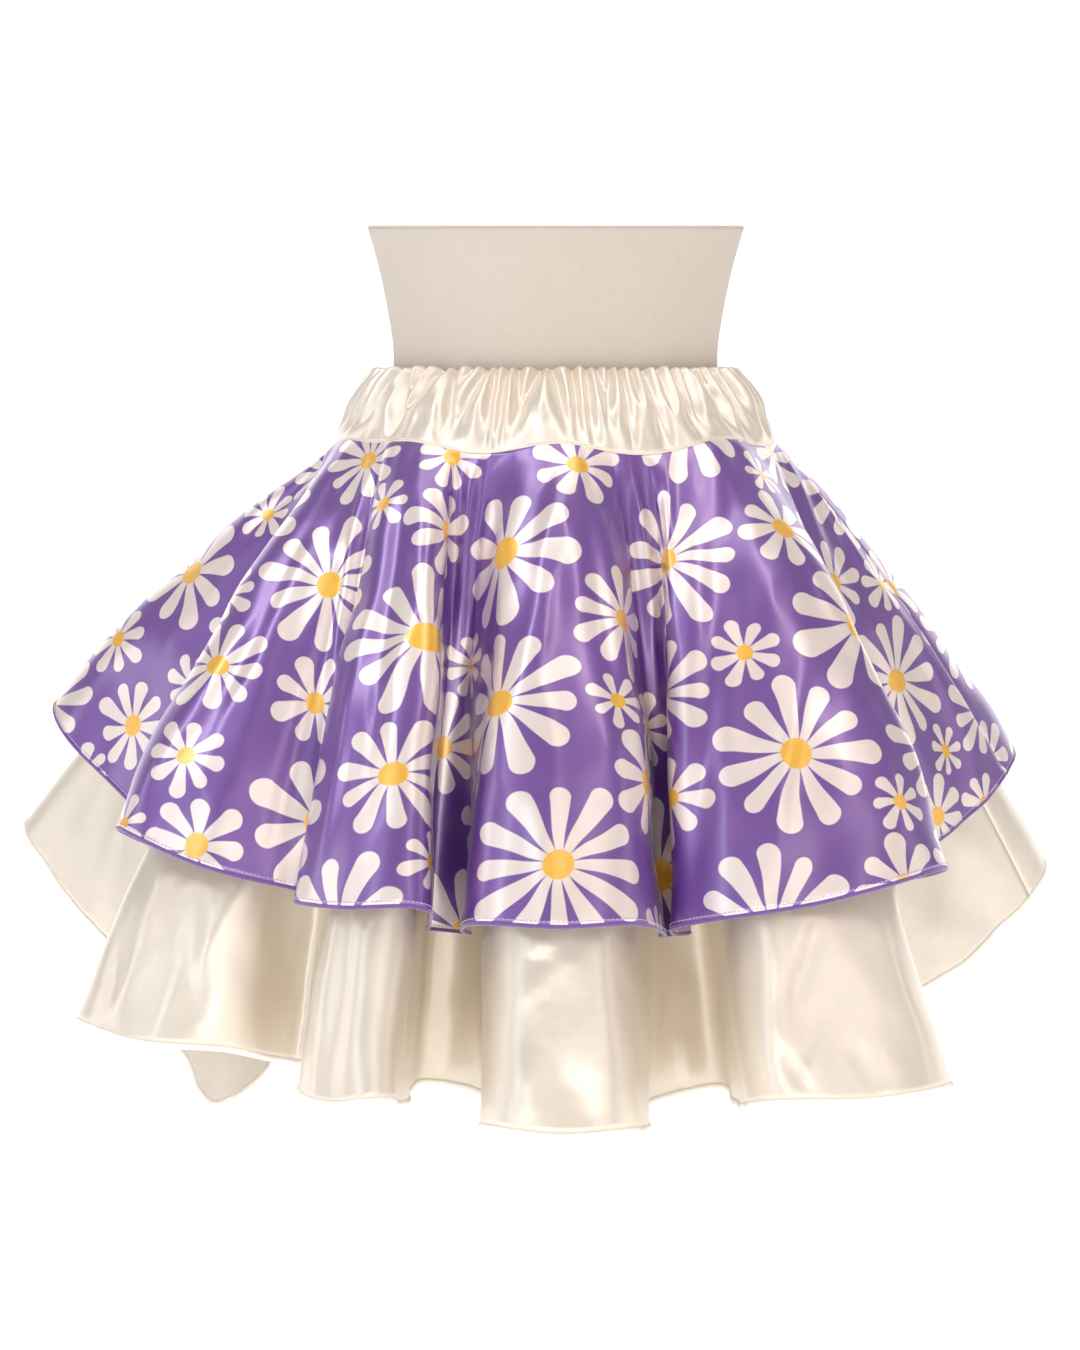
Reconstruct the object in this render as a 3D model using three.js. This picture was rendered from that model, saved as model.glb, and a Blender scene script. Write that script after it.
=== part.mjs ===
// A two-tier satin circle skirt with an elastic waistband, worn by a limbless dress form on a low stand.
// Millimetres, +Z up, the front of the skirt towards -Y and its right-hand side towards +X.
// Azimuths are in degrees round the form: 0 is the front, positive towards +X.
import * as THREE from 'three';

// Clearance left between neighbouring pieces
const PIECE_GAP = 0.3;

// Dress form and stand
const FORM_SIDES = 40;
const FORM_TOP_SLOPE = 0.104;
const POST_RADIUS = 17;
const FLANGE_RADIUS = 60;
const FLANGE_THICKNESS = 8;
const BASE_RADIUS = 112;
const BASE_THICKNESS = 12;
const BASE_EDGE = 3;
const STAND_SIDES = 36;

// Half width and half depth of the form at heights above the floor, from its flat underside to its top,
// which is cut on a slope, lower in front
const FORM_SECTIONS = [
  { height: 160, halfWidth: 136, halfDepth: 100 },
  { height: 200, halfWidth: 155, halfDepth: 112 },
  { height: 250, halfWidth: 167, halfDepth: 119 },
  { height: 300, halfWidth: 169, halfDepth: 120 },
  { height: 350, halfWidth: 163, halfDepth: 116 },
  { height: 400, halfWidth: 151, halfDepth: 109 },
  { height: 440, halfWidth: 137, halfDepth: 101 },
  { height: 475, halfWidth: 125, halfDepth: 94.5 },
  { height: 512, halfWidth: 120.5, halfDepth: 92 },
  { height: 545, halfWidth: 124, halfDepth: 94 },
  { height: 578, halfWidth: 130.5, halfDepth: 98 },
  { height: 607, halfWidth: 138, halfDepth: 103 },
];

// Waistband: rows from the ruffled header down to the waist seam
const BAND_WALL = 3.2;
const BAND_COLUMNS = 160;
const BAND_GATHERS = 40;
const BAND_SECTIONS = [
  { height: 501, halfWidth: 124.25, halfDepth: 95.15, gather: 1.2 },
  { height: 494, halfWidth: 134, halfDepth: 106.5, gather: 2.2 },
  { height: 484, halfWidth: 144, halfDepth: 117, gather: 2.6 },
  { height: 472, halfWidth: 153, halfDepth: 126.5, gather: 1.8 },
];

// Waist seam, where both tiers hang from the band
const SEAM_HALF_WIDTH = 162;
const SEAM_HALF_DEPTH = 136;
const SEAM_HEIGHT = 446;
const SEAM_SIDE_RISE = 6;
const SEAM_CREST_BULGE = 5;
const SEAM_CREST_WIDTH = 13;

// Tiers
const CLOTH_WALL = 1.2;
const PANEL_END_TRIM = 0.22;
const SIDE_SEAM = 90;
const STEPS_PER_STATION = 5;
const CREST_HEAD_SHARE = 0.4;
const CREST_END_DROP = 0.14;
const CREST_END_LIFT = 4;

const LOWER = { length: 430, rows: 4, seamOffset: -1, topDrop: 1.1, bulge: 5 };
const UPPER = { length: 317, rows: 4, seamOffset: 0.8, topDrop: 0.1, bulge: 10 };

// Crests of each tier at its hem, in order round the skirt, and the trough that follows each.
// seamAt is the azimuth where a fold leaves the waist seam and lift how far it raises the seam there;
// at and reach place the crest's middle, span is its width (negative where a tucked fold runs back on
// itself), turn is its yaw, ease is cloth longer than the tier's length, as bias-cut satin drops, and tilt
// is how much longer it is at the crest's right end than at its left.
const LOWER_CRESTS = [
  { seamAt: -114, at: -101, reach: 446, span: 80, turn: 0, ease: 5, tilt: 0 },
  { seamAt: -77, at: -50, reach: 310, span: -36, turn: 6, ease: 46, tilt: 0 },
  { seamAt: -61, at: -44, reach: 376, span: 112, turn: 27, ease: 2, tilt: -20 },
  { seamAt: -35, at: -21, reach: 360, span: 54, turn: 0, ease: 3, tilt: -6 },
  { seamAt: 0, at: 0, reach: 350, span: 84, turn: 0, ease: 6, tilt: 2 },
  { seamAt: 42, at: 30, reach: 368, span: 122, turn: -18, ease: 11, tilt: 18 },
  { seamAt: 98, at: 101, reach: 416, span: 80, turn: 0, ease: 10, tilt: 0 },
  { seamAt: 136, at: 136, reach: 382, span: 86, turn: 0, ease: 2, tilt: 0 },
  { seamAt: 166, at: 166, reach: 364, span: 82, turn: 0, ease: 0, tilt: 0 },
  { seamAt: 196, at: 196, reach: 358, span: 88, turn: 0, ease: 4, tilt: 0 },
  { seamAt: 222, at: 224, reach: 376, span: 84, turn: 0, ease: 6, tilt: 0 },
];
const LOWER_TROUGHS = [
  { at: -60, reach: 254, span: 64, ease: 30 },
  { at: -60, reach: 322, span: -23, turn: 78, ease: 18 },
  { at: -35, reach: 290, span: 14, ease: -10 },
  { at: -20, reach: 210, span: 44, ease: 0 },
  { at: 25, reach: 212, span: 50, ease: 6 },
  { at: 60, reach: 246, span: 50, ease: 8 },
  { at: 122, reach: 244, span: 40, ease: 2 },
  { at: 151, reach: 226, span: 40, ease: 0 },
  { at: 181, reach: 218, span: 40, ease: 0 },
  { at: 210, reach: 222, span: 40, ease: 2 },
  { at: 240, reach: 252, span: 36, ease: 4 },
];
const UPPER_CRESTS = [
  { seamAt: -114, lift: 2, at: -99, reach: 402, span: 92, turn: 0, ease: 12, tilt: 0 },
  { seamAt: -60, lift: 5, at: -42, reach: 333, span: 118, turn: 32, ease: 5, tilt: -4 },
  { seamAt: -36, lift: 8, at: -22.5, reach: 322, span: 80, turn: 2, ease: 8, tilt: -4 },
  { seamAt: 0, lift: 10, at: 0, reach: 310, span: 98, turn: 0, ease: 4, tilt: 0 },
  { seamAt: 42, lift: 9, at: 30, reach: 320, span: 168, turn: -24, ease: 8, tilt: 4 },
  { seamAt: 98, lift: 2, at: 98, reach: 370, span: 92, turn: 0, ease: 12, tilt: 0 },
  { seamAt: 136, lift: 6, at: 136, reach: 346, span: 96, turn: 0, ease: 2, tilt: 0 },
  { seamAt: 166, lift: 8, at: 166, reach: 330, span: 92, turn: 0, ease: 0, tilt: 0 },
  { seamAt: 196, lift: 7, at: 196, reach: 326, span: 98, turn: 0, ease: 2, tilt: 0 },
  { seamAt: 222, lift: 5, at: 224, reach: 342, span: 94, turn: 0, ease: 4, tilt: 0 },
];
const UPPER_TROUGHS = [
  { at: -70, reach: 280, span: 36, ease: 4 },
  { at: -31.5, reach: 290, span: 11, ease: 2 },
  { at: -19, reach: 226, span: 30, ease: 0 },
  { at: 20, reach: 228, span: 22, ease: 2 },
  { at: 64, reach: 268, span: 30, ease: 4 },
  { at: 122, reach: 276, span: 30, ease: 2 },
  { at: 151, reach: 256, span: 34, ease: 0 },
  { at: 181, reach: 246, span: 34, ease: 0 },
  { at: 210, reach: 250, span: 34, ease: 2 },
  { at: 240, reach: 282, span: 28, ease: 2 },
];

// ---- Small helpers

function radians(degrees) {
  return degrees * Math.PI / 180;
}

// A point on an ellipse round the form's axis
function onEllipse(azimuth, halfWidth, halfDepth, height) {
  const angle = radians(azimuth);
  return new THREE.Vector3(halfWidth * Math.sin(angle), -halfDepth * Math.cos(angle), height);
}

// A smooth bump of height 1 at centre, fading over width, in degrees round the form
function bump(azimuth, centre, width) {
  const away = ((azimuth - centre) % 360 + 540) % 360 - 180;
  return Math.exp(-((away / width) ** 2));
}

// A rising curve through values at whole numbers; values[i + n] = values[i] + 360
function risingCurve(values) {
  const count = values.length;
  const value = (i) => values[((i % count) + count) % count] + 360 * Math.floor(i / count);
  const slope = (i) => {
    const before = value(i) - value(i - 1);
    const after = value(i + 1) - value(i);
    return 2 * before * after / (before + after);
  };
  return (x) => {
    const i = Math.floor(x);
    const w = x - i;
    const rise = w * w * (3 - 2 * w);
    const leave = w * (1 - w) * (1 - w) * slope(i);
    const arrive = w * w * (1 - w) * slope(i + 1);
    return value(i) + (value(i + 1) - value(i)) * rise + leave - arrive;
  };
}

// Where a rising function reaches a target, between low and high
function whereReached(rising, target, low, high) {
  for (let step = 0; step < 50; step += 1) {
    const middle = (low + high) / 2;
    if (rising(middle) < target) {
      low = middle;
    } else {
      high = middle;
    }
  }
  return low;
}

// A solid from an index list over shared points
function solid(points, triangles) {
  const geometry = new THREE.BufferGeometry();
  const positions = points.flatMap((point) => [point.x, point.y, point.z]);
  geometry.setAttribute('position', new THREE.Float32BufferAttribute(positions, 3));
  geometry.setIndex(triangles);
  geometry.computeVertexNormals();
  return geometry;
}

// A closed wall of even thickness about a grid of middle points: rows go down, columns go round by azimuth
function wallSolid(grid, thickness, closedRound) {
  const rows = grid.length;
  const columns = grid[0].length;
  const at = (row, column) => {
    const wrapped = closedRound ? (column + columns) % columns : Math.min(Math.max(column, 0), columns - 1);
    return grid[Math.min(Math.max(row, 0), rows - 1)][wrapped];
  };
  const outer = [];
  const inner = [];
  for (let row = 0; row < rows; row += 1) {
    for (let column = 0; column < columns; column += 1) {
      const down = at(row + 1, column).clone().sub(at(row - 1, column));
      const round = at(row, column + 1).clone().sub(at(row, column - 1));
      const outward = down.cross(round).normalize().multiplyScalar(thickness / 2);
      outer.push(at(row, column).clone().add(outward));
      inner.push(at(row, column).clone().sub(outward));
    }
  }
  const triangles = [];
  const quad = (a, b, c, d) => triangles.push(a, b, c, a, c, d);
  const outside = (row, column) => row * columns + (column % columns);
  const inside = (row, column) => rows * columns + outside(row, column);
  const spans = closedRound ? columns : columns - 1;
  const last = rows - 1;
  for (let column = 0; column < spans; column += 1) {
    const next = column + 1;
    for (let row = 0; row < last; row += 1) {
      const below = row + 1;
      quad(outside(row, column), outside(below, column), outside(below, next), outside(row, next));
      quad(inside(row, column), inside(row, next), inside(below, next), inside(below, column));
    }
    quad(outside(0, column), outside(0, next), inside(0, next), inside(0, column));
    quad(outside(last, column), inside(last, column), inside(last, next), outside(last, next));
  }
  if (!closedRound) {
    for (let row = 0; row < last; row += 1) {
      const below = row + 1;
      quad(outside(row, 0), inside(row, 0), inside(below, 0), outside(below, 0));
      quad(outside(row, spans), outside(below, spans), inside(below, spans), inside(row, spans));
    }
  }
  return solid([...outer, ...inner], triangles);
}

// A solid lofted through closed rings that rise from the first to the last, with flat ends
function loftSolid(rings) {
  const sides = rings[0].length;
  const points = rings.flat();
  const triangles = [];
  for (let ring = 0; ring < rings.length - 1; ring += 1) {
    for (let side = 0; side < sides; side += 1) {
      const a = ring * sides + side;
      const b = ring * sides + (side + 1) % sides;
      triangles.push(a, b, b + sides, a, b + sides, a + sides);
    }
  }
  const middle = (ring) => new THREE.Box3().setFromPoints(ring).getCenter(new THREE.Vector3());
  const bottom = points.push(middle(rings[0])) - 1;
  const top = points.push(middle(rings[rings.length - 1])) - 1;
  const topStart = (rings.length - 1) * sides;
  for (let side = 0; side < sides; side += 1) {
    const next = (side + 1) % sides;
    triangles.push(bottom, next, side, top, topStart + side, topStart + next);
  }
  return solid(points, triangles);
}

// ---- Waist seam and waistband

// A point of the waist seam: fuller and a little higher where a fold of the upper tier begins
function seamPoint(azimuth) {
  let lift = 0;
  for (const crest of UPPER_CRESTS) {
    lift += crest.lift * bump(azimuth, crest.seamAt, SEAM_CREST_WIDTH);
  }
  const swell = lift * SEAM_CREST_BULGE / 10;
  const height = SEAM_HEIGHT + SEAM_SIDE_RISE * Math.sin(radians(azimuth)) ** 2 + lift;
  return onEllipse(azimuth, SEAM_HALF_WIDTH + swell, SEAM_HALF_DEPTH + swell, height);
}

// Uneven gathers of the elastic casing, between -1 and 1
function gatherWave(azimuth) {
  const angle = radians(azimuth);
  const drift = 1.3 * Math.sin(3 * angle + 0.5) + 0.8 * Math.sin(7 * angle);
  const depth = 0.8 + 0.2 * Math.sin(5 * angle + 1);
  return depth * Math.cos(BAND_GATHERS * angle + drift);
}

function waistbandGrid() {
  const azimuths = Array.from({ length: BAND_COLUMNS }, (_, column) => column * 360 / BAND_COLUMNS);
  const grid = BAND_SECTIONS.map((section) => azimuths.map((azimuth) => {
    const ripple = section.gather * gatherWave(azimuth);
    return onEllipse(azimuth, section.halfWidth + ripple, section.halfDepth + ripple, section.height);
  }));
  const bottom = azimuths.map((azimuth) => {
    const point = seamPoint(azimuth);
    point.z += PIECE_GAP;
    return point;
  });
  grid.push(bottom);
  return grid;
}

// ---- Tiers

// Stations along a hem: three on each crest and two in each trough, with their azimuths at the seam
function tierStations(crests, troughs) {
  const seamCircle = Math.PI * (SEAM_HALF_WIDTH + SEAM_HALF_DEPTH);
  const halfHead = (crest) => 180 * CREST_HEAD_SHARE * Math.abs(crest.span) / seamCircle;
  const hem = [];
  const seam = [];
  const place = (fold, along, inward, ease) => {
    const direction = radians(fold.at + (fold.turn ?? 0));
    const middle = onEllipse(fold.at, fold.reach, fold.reach, 0);
    const x = middle.x + along * Math.cos(direction) - inward * Math.sin(direction);
    const y = middle.y + along * Math.sin(direction) + inward * Math.cos(direction);
    hem.push(new THREE.Vector3(x, y, ease));
  };
  crests.forEach((crest, index) => {
    const trough = troughs[index];
    const next = crests[(index + 1) % crests.length];
    const nextSeam = next.seamAt + (index + 1 === crests.length ? 360 : 0);
    const endDrop = CREST_END_DROP * Math.abs(crest.span);
    const endEase = crest.ease - CREST_END_LIFT;
    place(crest, -crest.span / 2, endDrop, endEase - crest.tilt / 2);
    place(crest, 0, 0, crest.ease);
    place(crest, crest.span / 2, endDrop, endEase + crest.tilt / 2);
    place(trough, -trough.span / 2, 0, trough.ease);
    place(trough, trough.span / 2, 0, trough.ease);
    const left = crest.seamAt + halfHead(crest);
    const free = nextSeam - halfHead(next) - left;
    seam.push(crest.seamAt - halfHead(crest), crest.seamAt, left, left + 0.42 * free, left + 0.58 * free);
  });
  return { hem, seam };
}

// Rows of middle points of one panel of a tier, between two azimuths at the seam
function panelGrid(tier, crests, troughs, fromAzimuth, toAzimuth) {
  const stations = tierStations(crests, troughs);
  const count = stations.hem.length;
  const hemCurve = new THREE.CatmullRomCurve3(stations.hem, true, 'centripetal');
  const seamAzimuth = risingCurve(stations.seam);
  const start = whereReached(seamAzimuth, fromAzimuth, -count, 2 * count);
  const end = whereReached(seamAzimuth, toAzimuth, -count, 2 * count);
  const spans = Math.round((end - start) * STEPS_PER_STATION);
  const grid = Array.from({ length: tier.rows + 1 }, () => []);
  for (let column = 0; column <= spans; column += 1) {
    const station = start + (end - start) * column / spans;
    const top = seamPoint(seamAzimuth(station));
    const axial = new THREE.Vector3(top.x, top.y, 0).normalize();
    top.addScaledVector(axial, tier.seamOffset);
    top.z -= tier.topDrop;
    const hem = hemCurve.getPoint(((station / count) % 1 + 1) % 1);
    const cloth = tier.length + hem.z;
    const reach = Math.hypot(hem.x - top.x, hem.y - top.y);
    hem.z = top.z - Math.sqrt(cloth ** 2 - reach ** 2);
    const fall = hem.clone().sub(top);
    const outward = new THREE.Vector3(-fall.x * fall.z / reach, -fall.y * fall.z / reach, reach).normalize();
    const belly = 4 * tier.bulge * Math.min(reach / 200, 1.3);
    grid.forEach((row, index) => {
      const share = index / tier.rows;
      const point = top.clone().addScaledVector(fall, share);
      row.push(point.addScaledVector(outward, belly * share * (1 - share)));
    });
  }
  for (const row of grid) {
    partEnd(row, 0, 1);
    partEnd(row, spans, spans - 1);
  }
  return grid;
}

// Draws a row's end back from the side seam; the walls' corners lean, so this is over half of the gap
function partEnd(row, end, neighbour) {
  const inward = row[neighbour].clone().sub(row[end]).normalize();
  row[end].addScaledVector(inward, PANEL_END_TRIM);
}

// ---- Sub-parts

function mesh(name, geometry, color, roughness) {
  const material = new THREE.MeshStandardMaterial({ color, roughness, metalness: 0 });
  const part = new THREE.Mesh(geometry, material);
  part.name = name;
  return part;
}

function dressForm() {
  const rings = FORM_SECTIONS.map((section) => Array.from({ length: FORM_SIDES }, (_, side) => (
    onEllipse(side * 360 / FORM_SIDES, section.halfWidth, section.halfDepth, section.height)
  )));
  for (const point of rings[rings.length - 1]) {
    point.z += FORM_TOP_SLOPE * point.y;
  }
  return mesh('dress_form', loftSolid(rings), 0xe9e3d6, 0.9);
}

function formStand() {
  const flangeTop = FORM_SECTIONS[0].height - PIECE_GAP;
  const profile = [
    new THREE.Vector2(0, 0),
    new THREE.Vector2(BASE_RADIUS, 0),
    new THREE.Vector2(BASE_RADIUS, BASE_THICKNESS - BASE_EDGE),
    new THREE.Vector2(BASE_RADIUS - BASE_EDGE, BASE_THICKNESS),
    new THREE.Vector2(POST_RADIUS, BASE_THICKNESS),
    new THREE.Vector2(POST_RADIUS, flangeTop - FLANGE_THICKNESS),
    new THREE.Vector2(FLANGE_RADIUS, flangeTop - FLANGE_THICKNESS),
    new THREE.Vector2(FLANGE_RADIUS, flangeTop),
    new THREE.Vector2(0, flangeTop),
  ];
  const part = mesh('form_stand', new THREE.LatheGeometry(profile, STAND_SIDES), 0xd9d4ca, 0.5);
  part.rotation.x = Math.PI / 2;
  return part;
}

function waistband() {
  return mesh('waistband', wallSolid(waistbandGrid(), BAND_WALL, true), 0xf6efe2, 0.35);
}

function panel(name, tier, crests, troughs, fromAzimuth, color) {
  const grid = panelGrid(tier, crests, troughs, fromAzimuth, fromAzimuth + 180);
  return mesh(name, wallSolid(grid, CLOTH_WALL, false), color, 0.35);
}

const IVORY = 0xf7f0e4;
const PURPLE = 0x6a4aa8;

const skirt = new THREE.Group();
skirt.add(dressForm());
skirt.add(formStand());
skirt.add(waistband());
skirt.add(panel('upper_tier_front', UPPER, UPPER_CRESTS, UPPER_TROUGHS, -SIDE_SEAM, PURPLE));
skirt.add(panel('upper_tier_back', UPPER, UPPER_CRESTS, UPPER_TROUGHS, SIDE_SEAM, PURPLE));
skirt.add(panel('lower_tier_front', LOWER, LOWER_CRESTS, LOWER_TROUGHS, -SIDE_SEAM, IVORY));
skirt.add(panel('lower_tier_back', LOWER, LOWER_CRESTS, LOWER_TROUGHS, SIDE_SEAM, IVORY));

// The origin is at the middle of the whole part's footprint, on the floor
const extent = new THREE.Box3().setFromObject(skirt);
const middle = extent.getCenter(new THREE.Vector3());
skirt.position.set(-middle.x, -middle.y, -extent.min.z);

export default skirt;
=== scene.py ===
# A two-tier satin circle skirt with an elastic waistband, on a limbless dress form with a low stand.
# Sizes are in millimetres about the form's axis, +Z up, the front towards -Y, until a mesh is made.
# Azimuths are in degrees round the form: 0 is the front, positive towards +X.
import math

import bpy
import numpy as np
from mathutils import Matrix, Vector


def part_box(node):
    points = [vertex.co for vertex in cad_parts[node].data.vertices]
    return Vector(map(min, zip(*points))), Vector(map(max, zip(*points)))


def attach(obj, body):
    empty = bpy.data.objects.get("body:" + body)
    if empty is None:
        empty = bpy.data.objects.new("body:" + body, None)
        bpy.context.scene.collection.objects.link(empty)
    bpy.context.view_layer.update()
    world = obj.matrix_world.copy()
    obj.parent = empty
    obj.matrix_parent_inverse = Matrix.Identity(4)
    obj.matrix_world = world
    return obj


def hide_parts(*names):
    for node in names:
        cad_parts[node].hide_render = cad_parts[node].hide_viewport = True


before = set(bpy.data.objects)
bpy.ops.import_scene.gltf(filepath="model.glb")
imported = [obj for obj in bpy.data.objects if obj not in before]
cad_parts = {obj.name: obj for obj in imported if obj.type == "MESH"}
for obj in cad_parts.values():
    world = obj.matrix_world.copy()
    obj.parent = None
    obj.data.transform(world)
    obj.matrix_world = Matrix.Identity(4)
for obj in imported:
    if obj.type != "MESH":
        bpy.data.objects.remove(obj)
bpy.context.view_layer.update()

MM = 0.001
FORM_LOW, FORM_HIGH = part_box("dress_form")
AXIS = (FORM_LOW + FORM_HIGH) / 2
AXIS.z = 0

# Camera, from the form's axis: sideways, back, up, and how far it looks down
CAMERA_PLACE = (-11.5, -1108, 492)
CAMERA_PITCH = 11.3
CAMERA_LENS = 38.67
LAMPS_AIM = (0, 0, 300)

# ---- The skirt's driving sizes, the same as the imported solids'

FORM_TOP_SLOPE = 0.104
FORM_SECTIONS = [  # height, half width, half depth
    (160, 136, 100), (200, 155, 112), (250, 167, 119), (300, 169, 120), (350, 163, 116),
    (400, 151, 109), (440, 137, 101), (475, 125, 94.5), (512, 120.5, 92), (545, 124, 94),
    (578, 130.5, 98), (607, 138, 103),
]

SEAM_HALF_WIDTH = 162
SEAM_HALF_DEPTH = 136
SEAM_HEIGHT = 446
SEAM_SIDE_RISE = 6
SEAM_CREST_BULGE = 5
SEAM_CREST_WIDTH = 13

CREST_HEAD_SHARE = 0.4
TROUGH_SHARES = (0.42, 0.58)
CREST_END_DROP = 0.14
CREST_END_LIFT = 4

LOWER = {
    "length": 430, "seam_offset": -1, "top_drop": 1.1, "bulge": 5,
    # seam_at, at, reach, span, turn, ease, tilt
    "crests": [
        (-114, -101, 446, 80, 0, 5, 0), (-77, -50, 310, -36, 6, 46, 0), (-61, -44, 376, 112, 27, 2, -20),
        (-35, -21, 360, 54, 0, 3, -6), (0, 0, 350, 84, 0, 6, 2), (42, 30, 368, 122, -18, 11, 18),
        (98, 101, 416, 80, 0, 10, 0), (136, 136, 382, 86, 0, 2, 0), (166, 166, 364, 82, 0, 0, 0),
        (196, 196, 358, 88, 0, 4, 0), (222, 224, 376, 84, 0, 6, 0),
    ],
    # at, reach, span, turn, ease
    "troughs": [
        (-60, 254, 64, 0, 30), (-60, 322, -23, 78, 18), (-35, 290, 14, 0, -10), (-20, 210, 44, 0, 0),
        (25, 212, 50, 0, 6), (60, 246, 50, 0, 8), (122, 244, 40, 0, 2), (151, 226, 40, 0, 0),
        (181, 218, 40, 0, 0), (210, 222, 40, 0, 2), (240, 252, 36, 0, 4),
    ],
}
UPPER = {
    "length": 317, "seam_offset": 0.8, "top_drop": 0.1, "bulge": 10,
    "crests": [
        (-114, -99, 402, 92, 0, 12, 0), (-60, -42, 333, 118, 32, 5, -4), (-36, -22.5, 322, 80, 2, 8, -4),
        (0, 0, 310, 98, 0, 4, 0), (42, 30, 320, 168, -24, 8, 4), (98, 98, 370, 92, 0, 12, 0),
        (136, 136, 346, 96, 0, 2, 0), (166, 166, 330, 92, 0, 0, 0), (196, 196, 326, 98, 0, 2, 0),
        (222, 224, 342, 94, 0, 4, 0),
    ],
    "troughs": [
        (-70, 280, 36, 0, 4), (-31.5, 290, 11, 0, 2), (-19, 226, 30, 0, 0), (20, 228, 22, 0, 2),
        (64, 268, 30, 0, 4), (122, 276, 30, 0, 2), (151, 256, 34, 0, 0), (181, 246, 34, 0, 0),
        (210, 250, 34, 0, 2), (240, 282, 28, 0, 2),
    ],
}
# How far each fold of the upper tier raises the waist seam
SEAM_LIFTS = [
    (-114, 2), (-60, 5), (-36, 8), (0, 10), (42, 9), (98, 2), (136, 6), (166, 8), (196, 7), (222, 5),
]

# ---- Fine sizes of the cloth, hems and stitching

CLOTH_HALF = 0.35
CASING_HALF = 0.3
PANEL_COLUMNS = 400
SEAM_WEIGHT = 0.6
PANEL_STARTS = {"front": -90, "back": 90}
BULGE_REACH = 200
BULGE_LIMIT = 1.3

# crown is how much a tier's folds round out, rest how far it stands out between its dents, and room how far
# its cloth may stand in (below 0) and out
UPPER_CLOTH = {
    "rows": 78, "crown": 4.0, "rest": 2.4, "room_above": (-0.9, 7), "room_at_hem": (-1.2, 8),
    "seeds": {"front": 2, "back": 5}, "hem_radius": 1.3, "hem_flat": 0.7,
}
LOWER_CLOTH = {
    "rows": 84, "crown": 4.5, "rest": 0, "room_above": (-3, 1.4), "room_at_hem": (-4, 7),
    "seeds": {"front": 8, "back": 11}, "hem_radius": 1.75, "hem_flat": 0.75,
}
DENTS = [  # height, pitch along the hem, pitch down the fall
    (2.6, 46, 80), (0.5, 20, 36),
]
# Height, and how far it fades from the hem or the seam
FLUTTER_HEIGHT, FLUTTER_REACH = 0.5, 26
PUCKER_HEIGHT, PUCKER_REACH = 0.14, 9
GATHER_HEIGHT, GATHER_REACH = 0.22, 12

# Length of a stitch, gap and radius of the thread
HEM_STITCHES = (2.1, 0.6, 0.42)
SEAM_STITCHES = (2.2, 0.8, 0.26)
HEM_STITCHES_UP = 2.7
WRAP_ACROSS = 1.5
WRAP_UP = 1.95
WRAP_PITCH = 1.5
WRAP_RADIUS = 0.3
WRAP_TURN_POINTS = 6

# ---- Small helpers


def joined(*coordinates):
    return np.stack(np.broadcast_arrays(*coordinates), axis=-1)


def on_ellipse(azimuth, half_width, half_depth, height):
    angle = np.radians(azimuth)
    return joined(half_width * np.sin(angle), -half_depth * np.cos(angle), height)


def unit(vectors):
    return vectors / np.maximum(np.linalg.norm(vectors, axis=-1, keepdims=True), 1e-9)


def bump_at(azimuth, centre, width):
    away = (azimuth - centre + 180) % 360 - 180
    return np.exp(-((away / width) ** 2))


def smooth(low, high, value):
    """0 below low, 1 above high, and smooth between them."""
    share = np.clip((value - low) / (high - low), 0, 1)
    return share * share * (3 - 2 * share)


def sway(x, y, seed):
    """A soft uneven field between about -1 and 1, with one bump or so a unit."""
    total = 0
    for turn in range(6):
        angle = seed * 1.7 + turn * 1.13
        pitch = 2.4 + 0.9 * math.sin(seed * 3.1 + turn * 2.3) + 0.35 * turn
        along = x * math.cos(angle) + y * math.sin(angle)
        total = total + np.sin(pitch * along + seed * 5.3 + turn * 4.1)
    return total / 3


def lengths_along(points):
    """The length along a line of points, from its start to each point."""
    steps = np.linalg.norm(np.diff(points, axis=0), axis=-1)
    return np.concatenate([[0], np.cumsum(steps)])


def resampled(line, vectors, step):
    """A line and its vectors again, with points about step apart."""
    run = lengths_along(line)
    at = np.linspace(0, run[-1], max(3, int(run[-1] / step)))
    points = np.stack([np.interp(at, run, line[:, k]) for k in range(3)], axis=1)
    outs = unit(np.stack([np.interp(at, run, vectors[:, k]) for k in range(3)], axis=1))
    return points, outs


def cubic(start, end, leave, arrive, w):
    """The cubic from start to end with these slopes, at a share w of the way."""
    return (
        start + leave * w
        + (-3 * start + 3 * end - 2 * leave - arrive) * w ** 2
        + (2 * start - 2 * end + leave + arrive) * w ** 3
    )


def rising_curve(values):
    """A rising curve through values at whole numbers; values[i + n] = values[i] + 360."""
    values = np.array(values, float)
    count = len(values)

    def value(i):
        return values[i % count] + 360 * (i // count)

    def slope(i):
        before = value(i) - value(i - 1)
        after = value(i + 1) - value(i)
        return 2 * before * after / (before + after)

    def curve(x):
        i = np.floor(x).astype(int)
        return cubic(value(i), value(i + 1), slope(i), slope(i + 1), x - i)

    return curve


def closed_curve(points):
    """A closed centripetal Catmull-Rom curve; its parameter counts the points."""
    points = np.array(points, float)
    count = len(points)

    def curve(x):
        i = np.floor(x).astype(int)
        w = (x - i)[:, None]
        a, b, c, d = (points[(i + k) % count] for k in (-1, 0, 1, 2))
        ab, bc, cd = (np.sqrt(np.linalg.norm(way, axis=1))[:, None] for way in (b - a, c - b, d - c))
        leave = ((b - a) / ab - (c - a) / (ab + bc) + (c - b) / bc) * bc
        arrive = ((c - b) / bc - (d - b) / (bc + cd) + (d - c) / cd) * bc
        return cubic(b, c, leave, arrive, w)

    return curve


# ---- Meshes


def add_object(name, data):
    made = bpy.data.objects.new(name, data)
    bpy.context.collection.objects.link(made)
    return made


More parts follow.
